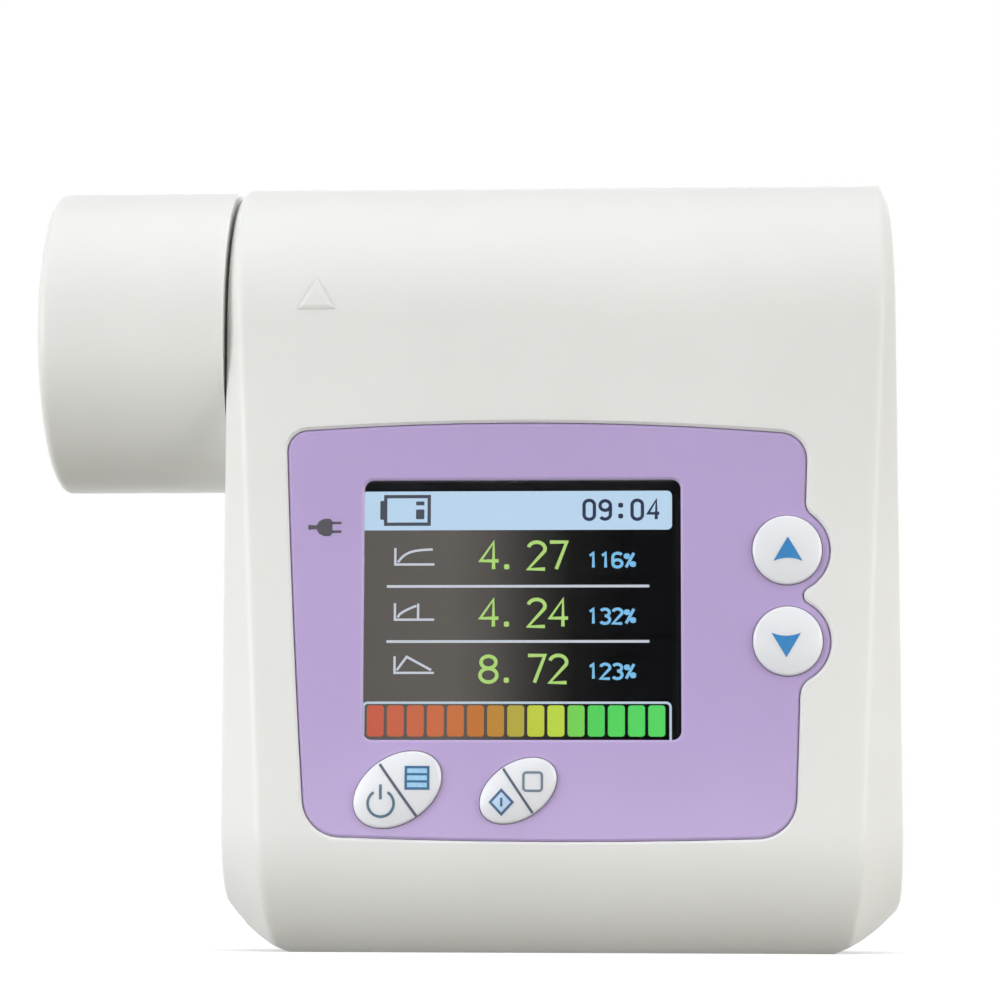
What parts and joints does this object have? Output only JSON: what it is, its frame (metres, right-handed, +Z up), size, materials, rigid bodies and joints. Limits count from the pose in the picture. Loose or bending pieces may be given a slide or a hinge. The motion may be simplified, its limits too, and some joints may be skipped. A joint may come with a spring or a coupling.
{
  "type": "handheld turbine spirometer",
  "caption": "Hand-held breath meter with a twist-off turbine tube through its round head, a colour display in a lilac front panel, and soft push keys.",
  "frame": {"origin": "on the flat foot, under the middle of the body's width and under the flow axis", "axes": "+X to the right towards the outlet, -X towards the mouthpiece, +Y to the back, +Z up"},
  "size_m": [0.0974, 0.0369, 0.089],
  "materials": {
    "casing_white": "satin moulded plastic, warm white",
    "fascia_lilac": "smooth lilac plastic with a soft sheen",
    "keycap_white": "glossy off-white plastic",
    "collar_white": "satin moulded plastic, white",
    "window_clear": "clear glossy plate",
    "barrel_clear": "clear moulded plastic, glossy",
    "swirler_clear": "pale moulded plastic",
    "foam_black": "black foam",
    "display_tray": "dark display tray",
    "display_image": "lit colour display",
    "ribbon_amber": "amber flexible ribbon",
    "connector_beige": "beige plastic",
    "board_green": "green laminate",
    "chip_black": "black moulded resin",
    "switch_black": "black moulded plastic",
    "plunger_grey": "grey moulded plastic",
    "screw_steel": "zinc plated steel",
    "battery_silver": "silver pouch",
    "socket_steel": "drawn steel shell",
    "lamp_body": "pale lamp",
    "guide_clear": "clear rod",
    "cradle_black": "black plastic",
    "gate_dark": "dark tinted resin",
    "gate_clear": "clear resin",
    "seal_rubber": "soft rubber",
    "bearing_jewel": "red jewel",
    "vane_dark": "thin dark plate",
    "pin_steel": "polished steel"
  },
  "bodies": {
    "casing": {"front_casing": "casing_white", "rear_casing": "casing_white", "case_screws": "screw_steel", "fascia_panel": "fascia_lilac", "display_window": "window_clear", "display_gasket": "foam_black", "display_module": "display_tray", "display_glass": "display_image", "display_ribbon": "ribbon_amber", "ribbon_connector": "connector_beige", "main_board": "board_green", "board_chips": "chip_black", "board_screws": "screw_steel", "switch_bases": "switch_black", "buzzer": "chip_black", "battery_cell": "battery_silver", "battery_pad": "foam_black", "charging_socket": "socket_steel", "charge_lamp": "lamp_body", "lamp_guide": "guide_clear", "sensor_cradle": "cradle_black", "gate_lamps": "gate_clear", "gate_receivers": "gate_dark"},
    "flow_head": {"mouth_collar": "collar_white", "turbine_barrel": "barrel_clear", "barrel_seal": "seal_rubber", "inlet_swirler": "swirler_clear", "outlet_swirler": "swirler_clear", "inlet_bearing": "bearing_jewel", "outlet_bearing": "bearing_jewel"},
    "rotor": {"rotor_vane": "vane_dark", "rotor_pin": "pin_steel"},
    "up_key": {"up_keycap": "keycap_white", "up_plunger": "plunger_grey"},
    "down_key": {"down_keycap": "keycap_white", "down_plunger": "plunger_grey"},
    "power_key": {"power_keycap": "keycap_white", "power_plunger": "plunger_grey"},
    "start_key": {"start_keycap": "keycap_white", "start_plunger": "plunger_grey"}
  },
  "joints": [
    {"name": "flow_head_twist", "type": "hinge", "parent": "casing", "child": "flow_head", "pos_m": [0, 0, 0.071], "axis": [-1, 0, 0], "range_deg": [0, 50]},
    {"name": "rotor_spin", "type": "hinge", "parent": "flow_head", "child": "rotor", "pos_m": [0, 0, 0.071], "axis": [1, 0, 0], "continuous": true},
    {"name": "up_key_press", "type": "slide", "parent": "casing", "child": "up_key", "axis": [0, 1, 0], "range_m": [0, 0.0005], "stiffness_N_per_m": 1000, "springref_m": -0.001},
    {"name": "down_key_press", "type": "slide", "parent": "casing", "child": "down_key", "axis": [0, 1, 0], "range_m": [0, 0.0005], "stiffness_N_per_m": 1000, "springref_m": -0.001},
    {"name": "power_key_press", "type": "slide", "parent": "casing", "child": "power_key", "axis": [0, 1, 0], "range_m": [0, 0.0005], "stiffness_N_per_m": 1000, "springref_m": -0.001},
    {"name": "start_key_press", "type": "slide", "parent": "casing", "child": "start_key", "axis": [0, 1, 0], "range_m": [0, 0.0005], "stiffness_N_per_m": 1000, "springref_m": -0.001}
  ]
}
